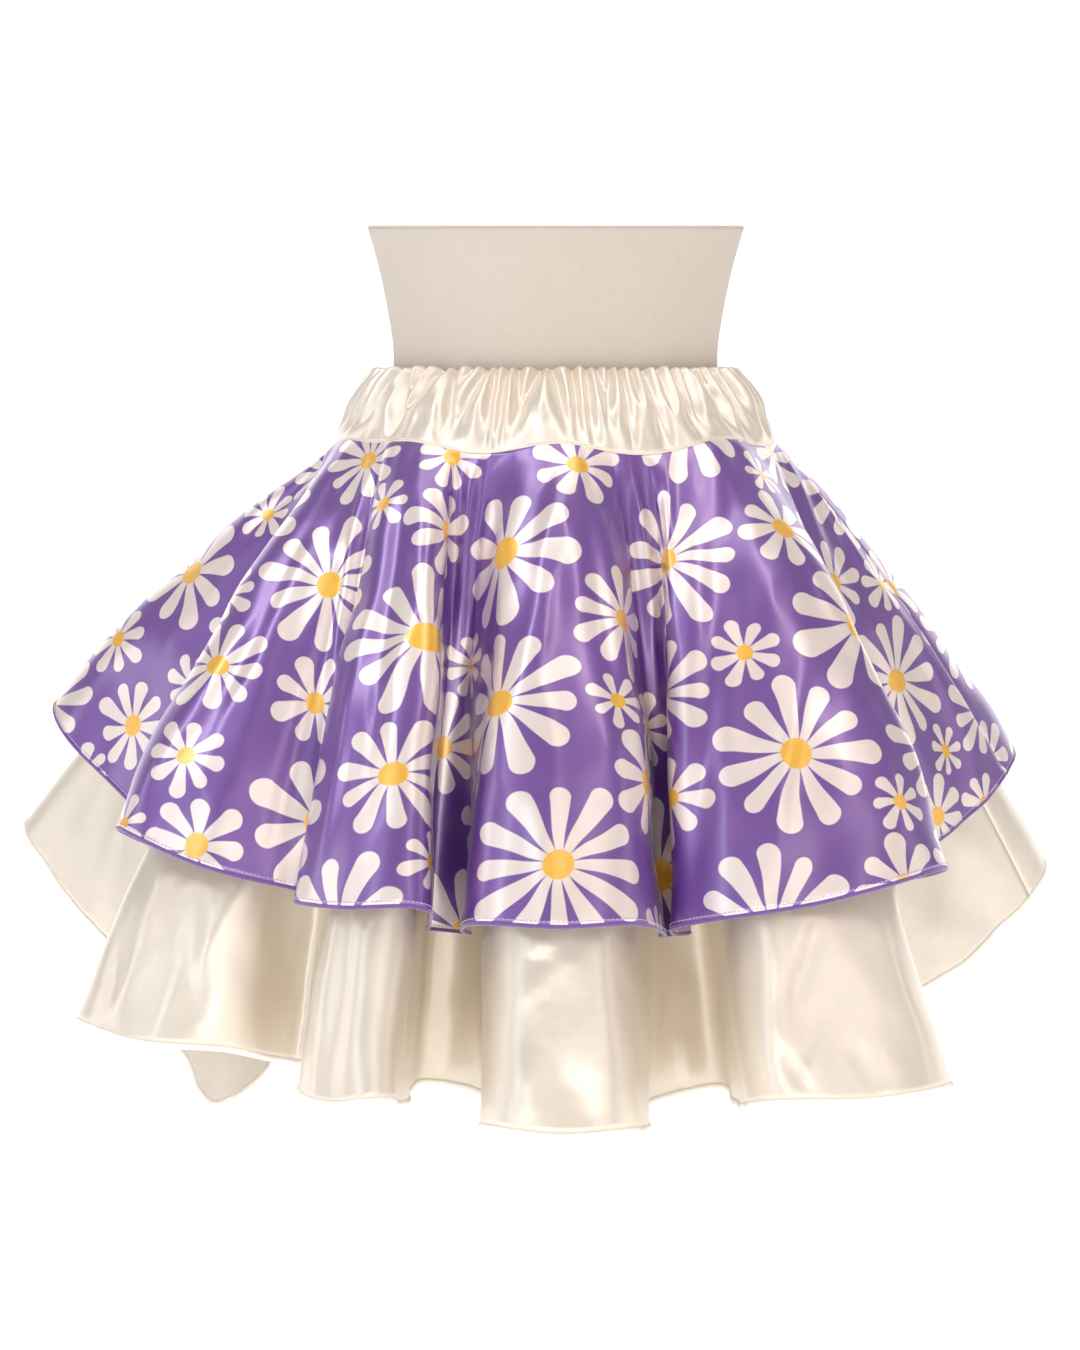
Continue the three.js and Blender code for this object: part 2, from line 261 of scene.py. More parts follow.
def make_mesh(name, points, faces, cut=None, around=None):
    """A smooth mesh from points in millimetres about the form's axis.

    cut is each point's place on the cloth, and around is its length round a piece that closes on itself.
    """
    mesh = bpy.data.meshes.new(name)
    placed = np.asarray(points, float).reshape(-1, 3) * MM + np.array(AXIS)
    mesh.from_pydata(placed.tolist(), [], faces)
    if cut is not None:
        corners = np.zeros(len(mesh.loops), np.int32)
        mesh.loops.foreach_get("vertex_index", corners)
        places = np.asarray(cut, float).reshape(-1, 2)[corners]
        if around is not None:
            sizes = np.zeros(len(mesh.polygons), np.int32)
            mesh.polygons.foreach_get("loop_total", sizes)
            first = np.repeat(places[np.cumsum(sizes) - sizes, 0], sizes)
            places[:, 0] += around * np.round((first - places[:, 0]) / around)
        layer = mesh.uv_layers.new(name="cut")
        layer.data.foreach_set("uv", (places * MM).ravel())
    mesh.shade_smooth()
    mesh.update()
    return add_object(name, mesh)


def grid_faces(rows, columns, closed_round=False, closed_down=False, start=0):
    """Quads over a grid of points: rows go down and columns go round, so the faces look outward."""
    down, across = rows if closed_down else rows - 1, columns if closed_round else columns - 1
    row, column = np.meshgrid(np.arange(down), np.arange(across), indexing="ij")
    this, below = row * columns, (row + 1) % rows * columns
    after = (column + 1) % columns
    quads = np.stack([this + column, below + column, below + after, this + after], axis=-1)
    return (quads.reshape(-1, 4) + start).tolist()


def capped_faces(rows, columns):
    """Quads over a grid that closes round, with a face over each end."""
    ends = [list(range(columns)), list(range((rows - 1) * columns, rows * columns))[::-1]]
    return grid_faces(rows, columns, closed_round=True) + ends


def grid_normals(grid, closed_round=False):
    """Outward normals of a grid whose rows go down and columns go round."""
    down = np.gradient(grid, axis=0)
    if closed_round:
        around = np.roll(grid, -1, axis=1) - np.roll(grid, 1, axis=1)
    else:
        around = np.gradient(grid, axis=1)
    return unit(np.cross(down, around))


def shell(name, grid, cut, half, around=None):
    """A thin sheet about a grid of middle points; around is its length round when it closes on itself."""
    closed_round = around is not None
    rows, columns = grid.shape[:2]
    normals = grid_normals(grid, closed_round)
    size = rows * columns
    points = np.concatenate([(grid + normals * side).reshape(-1, 3) for side in (half, -half)])
    outer = grid_faces(rows, columns, closed_round)
    inner = [face[::-1] for face in grid_faces(rows, columns, closed_round, start=size)]
    number = np.arange(size).reshape(rows, columns)
    if closed_round:
        number = np.concatenate([number, number[:, :1]], axis=1)
    edges = [number[0], number[-1, ::-1]]
    if not closed_round:
        edges += [number[:, -1], number[::-1, 0]]
    rims = []
    for edge in edges:
        rims += np.stack([edge[:-1], edge[1:], edge[1:] + size, edge[:-1] + size], axis=1).tolist()
    twice = np.concatenate([cut.reshape(-1, 2)] * 2)
    piece = make_mesh(name, points, outer + inner + rims, twice, around)
    layer = piece.data.attributes.new("reverse", "FLOAT", "FACE")
    layer.data.foreach_set("value", [0.0] * len(outer) + [1.0] * len(inner) + [0.0] * len(rims))
    return piece


def tube(name, path, out, radius, sides, closed=False, flat=1.0):
    """A tube along a path; out is a direction across it at each point, along which flat scales it."""
    if closed:
        ahead = unit(np.roll(path, -1, axis=0) - np.roll(path, 1, axis=0))
    else:
        ahead = unit(np.gradient(path, axis=0))
    side = unit(np.cross(ahead, out))
    out = unit(np.cross(side, ahead))
    angles = np.arange(sides) * 2 * math.pi / sides
    rings = (
        path[:, None]
        + out[:, None] * (np.cos(angles) * radius * flat)[None, :, None]
        + side[:, None] * (np.sin(angles) * radius)[None, :, None]
    )
    count = len(path)
    faces = grid_faces(count, sides, True, closed_down=True) if closed else capped_faces(count, sides)
    around = np.arange(sides) * 2 * math.pi * radius / sides
    return make_mesh(name, rings, faces, joined(lengths_along(path)[:, None], around[None, :]))


def stitches(name, line, out, stitch, gap, radius, closed=False):
    """Short raised threads along a line on cloth whose outward direction is out."""
    starts, out = resampled(line, out, stitch + gap)
    ahead = unit(np.gradient(starts, axis=0))
    if closed:
        starts, out, ahead = starts[:-1], out[:-1], ahead[:-1]
    ends = starts + ahead * stitch
    middle = (starts + ends) / 2 + out * radius * 1.1
    side = unit(np.cross(ahead, out))
    points = []
    for centre, size in ((starts, 0.45 * radius), (middle, radius), (ends, 0.45 * radius)):
        for angle in (0.5, 2.6, 4.7):
            points.append(centre + side * math.cos(angle) * size + out * math.sin(angle) * size)
    one_stitch = [
        [ring + corner, ring + after, ring + 3 + after, ring + 3 + corner]
        for ring in (0, 3) for corner, after in ((0, 1), (1, 2), (2, 0))
    ]
    one_stitch += [[2, 1, 0], [6, 7, 8]]
    faces = [[9 * i + corner for corner in face] for i in range(len(starts)) for face in one_stitch]
    return make_mesh(name + "_stitches", np.stack(points, axis=1), faces, np.zeros((len(starts) * 9, 2)))


# ---- Waist seam


def seam_point(azimuth):
    lift = 0
    for centre, height in SEAM_LIFTS:
        lift = lift + height * bump_at(azimuth, centre, SEAM_CREST_WIDTH)
    swell = lift * SEAM_CREST_BULGE / 10
    height = SEAM_HEIGHT + SEAM_SIDE_RISE * np.sin(np.radians(azimuth)) ** 2 + lift
    return on_ellipse(azimuth, SEAM_HALF_WIDTH + swell, SEAM_HALF_DEPTH + swell, height)


# ---- Tiers


def tier_curves(tier):
    """The hem's curve and the azimuth at the seam, both by station: five stations a fold."""
    seam_circle = math.pi * (SEAM_HALF_WIDTH + SEAM_HALF_DEPTH)
    hem, seam = [], []

    def place(at, reach, turn, along, inward, ease):
        direction = math.radians(at + turn)
        middle = on_ellipse(at, reach, reach, 0)
        x = middle[0] + along * math.cos(direction) - inward * math.sin(direction)
        y = middle[1] + along * math.sin(direction) + inward * math.cos(direction)
        hem.append((x, y, ease))

    crests = tier["crests"]
    for index, (seam_at, at, reach, span, turn, ease, tilt) in enumerate(crests):
        half_head = 180 * CREST_HEAD_SHARE * abs(span) / seam_circle
        end_drop = CREST_END_DROP * abs(span)
        end_ease = ease - CREST_END_LIFT
        place(at, reach, turn, -span / 2, end_drop, end_ease - tilt / 2)
        place(at, reach, turn, 0, 0, ease)
        place(at, reach, turn, span / 2, end_drop, end_ease + tilt / 2)
        at, reach, span, turn, ease = tier["troughs"][index]
        place(at, reach, turn, -span / 2, 0, ease)
        place(at, reach, turn, span / 2, 0, ease)
        after = crests[(index + 1) % len(crests)]
        after_seam = after[0] + (360 if index + 1 == len(crests) else 0)
        after_head = 180 * CREST_HEAD_SHARE * abs(after[3]) / seam_circle
        left = seam_at + half_head
        free = after_seam - after_head - left
        seam += [seam_at - half_head, seam_at, left, *(left + share * free for share in TROUGH_SHARES)]
    return closed_curve(hem), rising_curve(seam), len(hem)


def tier_columns(tier, station):
    """Top, hem and outward belly of the straight fall of the cloth at each station."""
    hem_curve, seam_azimuth, _ = tier_curves(tier)
    top = seam_point(seam_azimuth(station))
    axial = unit(top * np.array([1, 1, 0]))
    top = top + axial * tier["seam_offset"] - np.array([0, 0, tier["top_drop"]])
    hem = hem_curve(station)
    cloth = tier["length"] + hem[:, 2]
    reach = np.hypot(hem[:, 0] - top[:, 0], hem[:, 1] - top[:, 1])
    hem[:, 2] = top[:, 2] - np.sqrt(cloth ** 2 - reach ** 2)
    fall = hem - top
    aside = -fall[:, :2] * (fall[:, 2] / reach)[:, None]
    outward = unit(np.concatenate([aside, reach[:, None]], axis=1))
    belly = 4 * tier["bulge"] * np.minimum(reach / BULGE_REACH, BULGE_LIMIT)
    return top, fall, outward * belly[:, None]


def panel_stations(tier, from_azimuth):
    """Stations of one half of a tier from side seam to side seam, about even along its hem and its seam."""
    _, seam_azimuth, count = tier_curves(tier)
    many = np.linspace(-count, 2 * count, 60000)
    ends = np.interp([from_azimuth, from_azimuth + 180], seam_azimuth(many), many)
    fine = np.linspace(*ends, 6000)
    top, fall, _ = tier_columns(tier, fine)
    along = lengths_along(top + fall) + SEAM_WEIGHT * lengths_along(top)
    return np.interp(np.linspace(0, along[-1], PANEL_COLUMNS), along, fine)


def panel_grid(tier, station, rows):
    top, fall, belly = tier_columns(tier, station)
    share = np.linspace(0, 1, rows)[:, None, None]
    return top + fall * share + belly * share * (1 - share)


def laid_flat(grid):
    """Each point's place on the flat cloth: the strips between columns are turned flat one after another."""
    top, hem = grid[0], grid[-1]
    columns = grid.shape[1]
    fall = np.array([lengths_along(grid[:, column]) for column in range(columns)])
    long = fall[:, -1]

    def apex(p, q, from_p, from_q):
        """The point at these distances from p and q, on the left of the way from p to q."""
        gap = np.linalg.norm(q - p)
        ahead = (q - p) / gap
        along = (gap ** 2 + from_p ** 2 - from_q ** 2) / (2 * gap)
        aside = math.sqrt(max(from_p ** 2 - along ** 2, 0))
        return p + ahead * along + np.array([-ahead[1], ahead[0]]) * aside

    flat_top = np.zeros((columns, 2))
    flat_hem = np.zeros((columns, 2))
    flat_hem[0] = (0, -long[0])
    seam_step = np.linalg.norm(np.diff(top, axis=0), axis=1)
    hem_step = np.linalg.norm(np.diff(hem, axis=0), axis=1)
    slack = long[:-1] / np.linalg.norm(top[:-1] - hem[:-1], axis=1)
    cross = np.linalg.norm(top[1:] - hem[:-1], axis=1) * slack
    for k in range(columns - 1):
        flat_top[k + 1] = apex(flat_top[k], flat_hem[k], seam_step[k], cross[k])
        flat_hem[k + 1] = apex(flat_top[k + 1], flat_hem[k], long[k + 1], hem_step[k])
    share = (fall / long[:, None]).T[..., None]
    return flat_top + (flat_hem - flat_top) * share


def crease(cut, station, marks):
    """Soft ridges and troughs along straight lines on the flat cloth; height is negative for a trough."""
    rows, columns = cut.shape[:2]
    total = np.zeros((rows, columns))

    def place(at, share):
        column = np.interp(at, station, np.arange(columns))
        row = share * (rows - 1)
        i, j = min(int(row), rows - 2), min(int(column), columns - 2)
        v, w = row - i, column - j
        upper = cut[i, j] * (1 - w) + cut[i, j + 1] * w
        lower = cut[i + 1, j] * (1 - w) + cut[i + 1, j + 1] * w
        return upper * (1 - v) + lower * v

    for from_at, from_share, to_at, to_share, width, height in marks:
        if not station[0] <= (from_at + to_at) / 2 <= station[-1]:
            continue
        start, end = place(from_at, from_share), place(to_at, to_share)
        way = end - start
        share = np.clip(((cut - start) @ way) / (way @ way), -0.3, 1.3)
        away = np.linalg.norm(cut - start - share[..., None] * way, axis=-1)
        fade = smooth(-0.15, 0.3, share) * smooth(-0.15, 0.3, 1 - share)
        total += height * fade * np.exp(-((away / width) ** 2))
    return total


# Creases of the upper tier: from station and share of the fall, to station and share, width, height
UPPER_CREASES = [
    (14, 0.02, 13.6, 0.55, 6, -5.1), (13.2, 0.02, 13.5, 0.45, 5, 4), (17.6, 0.02, 18, 0.6, 6, -5.4),
    (18.4, 0.02, 18.3, 0.5, 5, 3.8), (19, 0.02, 19.4, 0.5, 5, -4.8), (8.6, 0.02, 8.7, 0.5, 6, -4.4),
    (16.2, 0.06, 15.5, 0.6, 7, 3), (16.5, 0.15, 17, 0.8, 8, -3), (15.6, 0.55, 15.9, 0.98, 8, 2.8),
    (21.6, 0.2, 22.1, 0.95, 9, 3.8), (20.6, 0.25, 20.2, 0.95, 9, -3), (19.7, 0.05, 20, 0.5, 6, 2.8),
    (11, 0.1, 11.2, 0.8, 7, -3), (10.7, 0.35, 10.5, 0.95, 6, 2.8), (11.7, 0.05, 11.9, 0.6, 6, 2.8),
    (6.2, 0.2, 5.9, 0.85, 9, 3.8), (6.9, 0.35, 6.6, 0.95, 8, -3), (7.6, 0.05, 7.4, 0.6, 6, 3),
    (21.2, 0.55, 20.6, 0.98, 6, 2.4), (22.4, 0.5, 22.8, 0.98, 7, -2.8), (5.6, 0.5, 5.2, 0.98, 8, 2.8),
    (24.6, 0.1, 25.2, 0.9, 9, 3), (25.8, 0.15, 26.1, 0.9, 9, -2.8), (1.4, 0.2, 1.1, 0.95, 9, 3),
    (30.6, 0.1, 30.8, 0.9, 9, 3.4), (31.4, 0.2, 31.2, 0.9, 8, -2.8), (35.7, 0.1, 35.9, 0.9, 9, 3.4),
    (36.6, 0.15, 36.4, 0.9, 9, -3), (40.6, 0.1, 40.4, 0.9, 9, 3.4), (41.5, 0.2, 41.7, 0.9, 8, -2.8),
    (45.8, 0.1, 45.6, 0.9, 9, 3.4), (46.6, 0.2, 46.8, 0.9, 8, -2.8), (33.5, 0.02, 33.6, 0.5, 6, -4.4),
    (38.4, 0.02, 38.6, 0.5, 6, -4.4), (43.6, 0.02, 43.4, 0.5, 6, -4.4), (48.5, 0.02, 48.4, 0.5, 6, -4),
]
# Creases of the lower tier, most below the upper tier's hem
LOWER_CREASES = [
    (10.5, 0.66, 10.8, 0.98, 9, 2), (11.1, 0.7, 11.5, 0.98, 7, -2.2), (11.6, 0.72, 11.4, 0.95, 5, 1.6),
    (10.3, 0.86, 10.7, 1, 6, -1.6), (10.9, 0.84, 10.6, 1, 5, 1.6), (11.3, 0.86, 11.2, 1, 4, 1.4),
    (15.5, 0.68, 15.5, 0.99, 6, 1.8), (16.3, 0.68, 16.3, 0.99, 6, 2), (15.9, 0.7, 15.9, 0.99, 6, -1.2),
    (15.6, 0.9, 15.8, 1, 5, -1.2), (16.8, 0.7, 16.9, 0.99, 6, -1.4), (20.4, 0.74, 20.4, 1, 9, 2.2),
    (21.6, 0.68, 21.7, 0.99, 8, 2.2), (20.9, 0.8, 21, 1, 12, -1.8), (20.5, 0.765, 21.1, 0.735, 3, 1.7),
    (21, 0.745, 21.8, 0.725, 2.6, 1.5), (20.5, 0.785, 21.4, 0.75, 3, -1.5),
    (20.3, 0.84, 20.8, 0.8, 3.5, 1.2), (20.2, 0.92, 20.6, 1, 5, -1.8), (20.6, 0.9, 20.4, 1, 5, 1.8),
    (21.2, 0.92, 21.4, 1, 6, -1.4), (25.3, 0.72, 25.2, 1, 8, 2.6), (26.4, 0.66, 26.6, 0.99, 8, 2.2),
    (25.5, 0.8, 26, 0.68, 4, 2), (25.4, 0.88, 25.8, 0.76, 4, -2), (25.2, 0.92, 25.5, 1, 4, -2),
    (25.3, 1, 25.8, 0.9, 4, 1.8), (25.9, 0.92, 26.1, 1, 5, -1.4), (26.9, 0.7, 27, 0.98, 6, -1.4),
    (18.2, 0.7, 18.2, 0.98, 6, 2), (18.7, 0.86, 18.9, 1, 5, 2.2), (18.5, 0.88, 18.4, 1, 4, -1.8),
    (23.1, 0.74, 23, 0.98, 6, 2), (23.5, 0.9, 23.5, 1, 4, 2.2), (23.8, 0.76, 23.9, 0.98, 6, -1.8),
    (12.8, 0.72, 12.7, 0.98, 6, 1.8), (13.5, 0.74, 13.6, 0.98, 6, -1.8), (30.4, 0.6, 30.7, 0.98, 9, 2),
    (31.3, 0.6, 31.6, 0.98, 8, -1.8), (30.9, 0.84, 31.3, 0.98, 4, 1.8), (1.3, 0.6, 1, 0.98, 9, 2),
    (0.6, 0.7, 0.4, 0.98, 8, -1.6), (35.6, 0.6, 35.8, 0.98, 9, 2), (36.5, 0.65, 36.3, 0.98, 8, -1.6),
    (40.6, 0.6, 40.4, 0.98, 9, 2), (41.4, 0.65, 41.7, 0.98, 8, -1.6), (45.7, 0.6, 45.5, 0.98, 9, 2),
    (46.5, 0.65, 46.8, 0.98, 8, -1.6), (50.6, 0.6, 50.8, 0.98, 9, 2), (51.5, 0.65, 51.3, 0.98, 8, -1.6),
]


def tier_relief(tier, cloth, cut, station, marks, seed):
    """How far the cloth stands out from its smooth fall: round folds, creases, dents and a lively hem."""
    rows, columns = cut.shape[:2]
    share = np.linspace(0, 1, rows)[:, None]
    below = share * tier["length"]
    above_hem = (1 - share) * tier["length"]
    relief = crease(cut, station, marks)
    hem_run = lengths_along(cut[-1])[None, :]
    for turn, (height, along, down) in enumerate(DENTS):
        relief += height * sway(hem_run / along, below / down, seed + turn)
    relief += cloth["rest"] * smooth(0.05, 0.25, share)
    from_crest = (station[None, :] + 1.5) % 5 - 2.5
    relief += cloth["crown"] * np.clip(1 - (from_crest / 1.2) ** 2, 0, 1) * smooth(0.15, 0.7, share)
    flutter = np.sin(hem_run / 9.5 + 1.6 * np.sin(hem_run / 37 + seed)) + 0.6 * np.sin(hem_run / 6.1 + seed)
    relief += FLUTTER_HEIGHT * flutter * np.exp(-above_hem / FLUTTER_REACH)
    pucker = np.sin(hem_run / 1.9 + 2.2 * np.sin(hem_run / 23))
    relief += PUCKER_HEIGHT * pucker * np.exp(-above_hem / PUCKER_REACH)
    seam_run = lengths_along(cut[0])[None, :]
    gathers = np.sin(seam_run / 2.1 + 1.7 * np.sin(seam_run / 19 + seed))
    relief += GATHER_HEIGHT * gathers * np.exp(-below / GATHER_REACH)
    from_side_seam = np.minimum(np.arange(columns), np.arange(columns)[::-1])
    return relief * smooth(0, 14, below) * smooth(0, 12, from_side_seam)[None, :]


def tier_panel(name, tier, cloth, marks, side):
    """One half of a tier: its piece, its middle surface and its outward directions."""
    station = panel_stations(tier, PANEL_STARTS[side])
    grid = panel_grid(tier, station, cloth["rows"])
    cut = laid_flat(grid)
    at_hem = smooth(0.7, 0.8, np.linspace(0, 1, cloth["rows"]))[:, None]
    low, high = (
        above + (below - above) * at_hem for above, below in zip(cloth["room_above"], cloth["room_at_hem"])
    )
    relief = np.clip(tier_relief(tier, cloth, cut, station, marks, cloth["seeds"][side]), low, high)
    grid = grid + grid_normals(grid) * relief[..., None]
    return shell(name, grid, cut, CLOTH_HALF), grid, grid_normals(grid)


def rolled_hem(name, cloth, grid, normals):
    return tube(name + "_hem", grid[-1], normals[-1], cloth["hem_radius"], 8, flat=cloth["hem_flat"])


def overlock(name, line, out):
    """A thread wound round the roll of a hem."""
    run = lengths_along(line)[-1]
    count = int(run / WRAP_PITCH * WRAP_TURN_POINTS)
    points, outs = resampled(line, out, run / count)
    side = unit(np.cross(np.gradient(points, axis=0), outs))
    angle = np.arange(len(points)) * 2 * math.pi / WRAP_TURN_POINTS
    around = outs * (np.cos(angle) * WRAP_ACROSS)[:, None] + side * (np.sin(angle) * WRAP_UP)[:, None]
    return tube(name + "_overlock", points + around, unit(around), WRAP_RADIUS, 3)


def hem_stitches(name, grid, normals):
    """A row of stitches on the outside of a panel, just above its hem."""
    fall = lengths_along(grid[:, 0])[-1]
    row = (len(grid) - 1) * (1 - HEM_STITCHES_UP / fall)
    i = int(row)
    v = row - i
    line = grid[i] * (1 - v) + grid[i + 1] * v
    out = unit(normals[i] * (1 - v) + normals[i + 1] * v)
    return stitches(name, line + out * CLOTH_HALF, out, *HEM_STITCHES)


# ---- Waistband

BAND_ROWS_OUTSIDE = 27
BAND_ROWS_TOP = 4
BAND_ROWS_INSIDE = 11
BAND_COLUMNS = 960
BAND_WALL = 2.6
BAND_OUT = 1
BAND_EDGE_OUT = 2
BAND_EDGE_DROP = 1.2
BAND_EDGE_RADIUS = 0.75
BAND_TOP_ROUND = 1.8
BAND_SWELL = 10.5
BAND_GATHER_DEPTH = 7.5
BAND_BROAD_DEPTH = 6.5
BAND_GATHERS = 46
BAND_BROAD_FOLDS = 19
BAND_SECTIONS = [  # height, half width, half depth
    (470, 150, 124), (483, 142, 115), (494, 134, 105), (500.5, 126.5, 97.5),
]
# Creases between the gathers in front: azimuth at the top and at the seam, how low they reach, width, depth
BAND_CREASES = [
    (-84, -86, 0.1, 3, 8), (-74, -78, 0.2, 2.8, 8), (-66, -69, 0, 2.6, 9), (-57, -61, 0, 2.6, 9),
    (-51, -42, 0, 2, 10), (-44, -47, 0.4, 2, 7), (-37, -46, 0.3, 2.4, 9), (-32, -27, 0, 2, 10),
    (-26, -33, 0.5, 1.8, 6), (-21.5, -27, 0.1, 2.2, 10), (-18.4, -17, 0.1, 1.5, 8),
    (-14.8, -14.4, 0.1, 1.4, 8), (-11.5, -9, 0.2, 2, 9), (-5, -12, 0.1, 2.2, 9), (-1.5, 3, 0.1, 2, 8),
    (4.4, 5.2, 0, 1.6, 9), (8.8, 8.2, 0.1, 1.6, 9), (12, 14, 0.4, 1.8, 8), (15.8, 11.5, 0.3, 1.7, 9),
    (19, 18, 0.1, 1.7, 8), (23, 20, 0.5, 1.6, 7), (27, 26.5, 0, 2, 10), (32, 29, 0.4, 1.8, 8),
    (37, 36.5, 0.1, 2, 10), (41, 37.8, 0.2, 1.6, 8), (45.5, 51, 0.1, 2.2, 9), (50, 46, 0.5, 1.8, 7),
    (55, 57.5, 0, 2.4, 9), (62, 61, 0.3, 2.2, 8), (70, 72, 0, 2.6, 9), (79, 80, 0.1, 2.8, 8),
    (87, 88, 0.1, 3, 8),
]


def loft_curve(controls, share):
    """A smooth open curve through control points, stacked on the first axis."""
    controls = np.stack(controls)
    last = len(controls) - 1
    x = np.clip(share, 0, 1) * last
    i = np.minimum(x.astype(int), last - 1)
    w = (x - i).reshape(-1, *([1] * (controls.ndim - 1)))
    a, b, c, d = (controls[np.clip(i + k, 0, last)] for k in (-1, 0, 1, 2))
    return cubic(b, c, (c - a) / 2, (d - b) / 2, w)


def puffs(phase):
    """Rounded tops with a narrow valley at every whole turn of the phase, from 0 to 1."""
    return (np.sqrt(np.sin(phase / 2) ** 2 + 0.03) - 0.173) / 0.842


def gather_relief(azimuth, share):
    """How far the gathered casing stands out at an azimuth and a share of its height above the seam."""
    angle = np.radians(azimuth)
    down = 1 - share
    drift = 1.9 * np.sin(3 * angle + 0.5) + 1.2 * np.sin(7 * angle) + 0.9 * np.sin(11 * angle + 2)
    phase = BAND_GATHERS * angle + drift + down * (1.8 * np.sin(9 * angle + 1) + 1.2 * np.sin(5 * angle + 2))
    fine = (1 - puffs(phase)) * (0.75 + 0.25 * np.sin(13 * angle + 1)) * smooth(0.1, 0.9, share)
    drift = 1.3 * np.sin(4 * angle + 2) + 0.8 * np.sin(6 * angle + 0.4)
    phase = BAND_BROAD_FOLDS * angle + drift + down * 1.3 * np.sin(8 * angle + 0.6)
    broad = (1 - puffs(phase)) * (0.8 + 0.2 * np.sin(5 * angle)) * smooth(0, 0.35, share)
    front = smooth(98, 84, np.abs(azimuth))
    valleys = ((BAND_GATHER_DEPTH * fine) ** 3 + (BAND_BROAD_DEPTH * broad) ** 3) * (1 - front)
    for top_at, seam_at, reach, width, depth in BAND_CREASES:
        centre = seam_at + (top_at - seam_at) * share
        away = np.abs(azimuth - centre) / width
        valley = depth * np.exp(-away ** 1.6) * smooth(reach - 0.2, reach + 0.25, share)
        valleys = valleys + valley ** 3
    valleys = np.cbrt(valleys)
    swell = BAND_SWELL * (0.35 + 0.65 * smooth(0, 0.45, share))
    swell = swell + 1.1 * sway(angle * 11, share * 1.6, 3) + 0.6 * sway(angle * 26, share * 2.5, 5)
    relief = swell - valleys
    relief = 0.5 * (relief + np.sqrt(relief ** 2 + 3))
    return relief * smooth(-0.03, 0.16, share)


def waistband():
    """The casing; its rows run from inside, over the top and down the outside to the seam."""
    azimuth = np.arange(BAND_COLUMNS) * 360 / BAND_COLUMNS - 180
    radial = unit(on_ellipse(azimuth, SEAM_HALF_DEPTH, SEAM_HALF_WIDTH, 0))
    edge = seam_point(azimuth) + radial * BAND_EDGE_OUT - np.array([0, 0, BAND_EDGE_DROP])
    controls = [edge] + [
        on_ellipse(azimuth, half_width, half_depth, height) + radial * BAND_OUT
        for height, half_width, half_depth in BAND_SECTIONS
    ]
    share = np.linspace(0, 1, BAND_ROWS_OUTSIDE)
    outside = loft_curve(controls, share)
    relief = gather_relief(azimuth[None, :], share[:, None])
    outside = outside + radial * relief[..., None]
    outside[..., 2] += (0.45 * relief - 1.5) * share[:, None] ** 3
    top = outside[-1]
    inner = outside - radial * BAND_WALL - radial * (0.8 * relief * share[:, None])[..., None]
    turn = np.linspace(0, math.pi, BAND_ROWS_TOP + 2)[1:-1, None, None]
    middle, half = (top + inner[-1]) / 2, (top - inner[-1]) / 2
    over = middle + half * np.cos(turn) + np.array([0, 0, BAND_TOP_ROUND]) * np.sin(turn)
    down = np.linspace(1, 0.05, BAND_ROWS_INSIDE)
    inside = np.stack([inner[int(round(s * (BAND_ROWS_OUTSIDE - 1)))] for s in down])
    grid = np.concatenate([outside, over, inside])[::-1]
    profile = lengths_along(grid[:, 0])
    around = lengths_along(np.concatenate([edge, edge[:1]]))
    cut = joined(around[None, :-1], -profile[:, None])
    piece = shell("waistband_casing", grid, cut, CASING_HALF, around[-1])
    return piece, outside, radial, profile[-1], around[-1]


# ---- Dress form and stand

FORM_SIDES = 120
FORM_WALL_ROWS = 110
FORM_WEAVE_RADIUS = 135
STAND_SIDES = 72
STAND_FLAT_RADIUS = 60
POST_RADIUS = 17
FLANGE_RADIUS = 60
FLANGE_THICKNESS = 8
BASE_RADIUS = 112
BASE_THICKNESS = 12
FORM_RIM = 2.5
STAND_GAP = 0.3


def dress_form():
    """The form's cover: side wall with its rim and lid, its flat underside, and flat places for the weave."""
    sections = [np.array(section, float) for section in FORM_SECTIONS]
    wall = loft_curve(sections, np.linspace(0, 1, FORM_WALL_ROWS))
    top, bottom = wall[-1], wall[0]
    rings = [bottom * (1, share, share) for share in (0.02, 0.3, 0.6, 0.9, 0.985)]
    rings += list(wall[:-1])
    for turn in (0, 30, 60, 90):
        angle = math.radians(turn)
        drop, inward = FORM_RIM * (1 - math.sin(angle)), FORM_RIM * (1 - math.cos(angle))
        rings.append(top - (drop, inward, inward))
    rings += [top * (1, share, share) for share in (0.93, 0.7, 0.4, 0.15, 0.02)]
    rings = np.array(rings)[::-1]
    azimuth = np.arange(FORM_SIDES) * 360 / FORM_SIDES - 180
    grid = on_ellipse(azimuth[None, :], rings[:, 1:2], rings[:, 2:3], rings[:, :1])
    slope_low, slope_high = FORM_SECTIONS[-2][0], FORM_SECTIONS[-1][0]
    lean = np.clip((grid[..., 2] - slope_low) / (slope_high - slope_low), 0, 1)
    grid[..., 2] += FORM_TOP_SLOPE * grid[..., 1] * lean
    around = np.radians(azimuth + 180)[None, :] * FORM_WEAVE_RADIUS
    down = lengths_along(grid[:, 0])[:, None]
    faces = capped_faces(len(grid), FORM_SIDES)
    return make_mesh("form_cover", grid, faces, joined(around, -down), 2 * math.pi * FORM_WEAVE_RADIUS)


